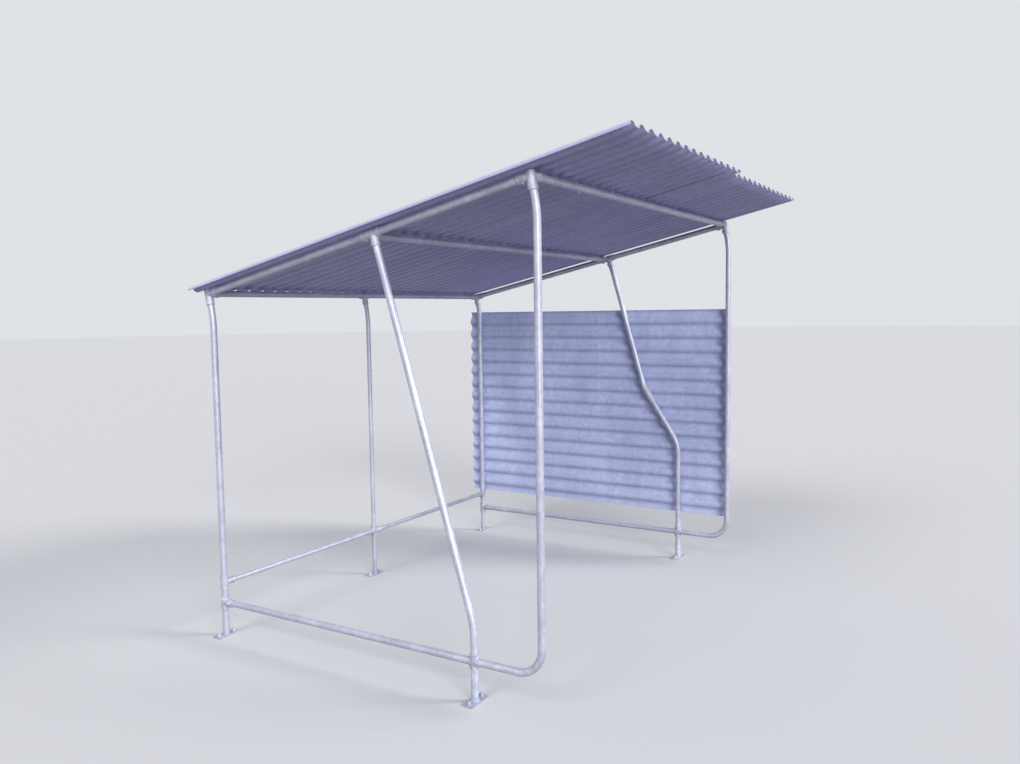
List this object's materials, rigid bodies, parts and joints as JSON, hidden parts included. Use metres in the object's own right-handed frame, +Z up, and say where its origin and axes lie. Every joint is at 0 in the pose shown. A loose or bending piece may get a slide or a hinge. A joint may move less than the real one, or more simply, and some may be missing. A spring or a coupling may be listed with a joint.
{
  "type": "bike shelter",
  "caption": "Open bike shelter: galvanised tube frame, sloping roof of corrugated sheet and a half-height corrugated side panel.",
  "frame": {"origin": "floor level, under the middle of the bounding box", "axes": "+Z up; the high open front faces -Y and the low back +Y; +X is to the right seen from the front, where the side panel is"},
  "size_m": [2.1174, 1.9922, 1.9044],
  "materials": {
    "galvanised_tube": "weathered hot-dip galvanised, satin",
    "cast_fitting": "galvanised malleable iron, slightly rough",
    "galvanised_foot": "galvanised, stained and chalky near the ground",
    "corrugated_sheet": "galvanised corrugated sheet, dulled"
  },
  "bodies": {
    "root": {"back_left_corner": "cast_fitting", "back_purlin": "galvanised_tube", "back_rail_left": "galvanised_tube", "back_rail_right": "galvanised_tube", "back_rail_tee_left": "cast_fitting", "back_rail_tee_middle": "cast_fitting", "back_rail_tee_right": "cast_fitting", "back_right_corner": "cast_fitting", "front_left_corner": "cast_fitting", "front_purlin": "galvanised_tube", "front_right_corner": "cast_fitting", "left_back_foot": "galvanised_foot", "left_back_post": "galvanised_tube", "left_front_post": "galvanised_tube", "left_rafter": "galvanised_tube", "left_rafter_clamp": "cast_fitting", "left_rail_cross": "cast_fitting", "left_rail_tee": "cast_fitting", "left_strut": "galvanised_tube", "left_strut_foot": "galvanised_foot", "middle_back_foot": "galvanised_foot", "middle_back_post": "galvanised_tube", "middle_post_tee": "cast_fitting", "middle_purlin": "galvanised_tube", "right_back_foot": "galvanised_foot", "right_back_post": "galvanised_tube", "right_front_post": "galvanised_tube", "right_rafter": "galvanised_tube", "right_rafter_clamp": "cast_fitting", "right_rail_cross": "cast_fitting", "right_rail_tee": "cast_fitting", "right_strut_coupling": "cast_fitting", "right_strut_foot": "galvanised_foot", "right_strut_lower": "galvanised_tube", "right_strut_upper": "galvanised_tube", "roof_sheet_left": "corrugated_sheet", "roof_sheet_right": "corrugated_sheet", "side_panel": "corrugated_sheet"}
  },
  "joints": []
}
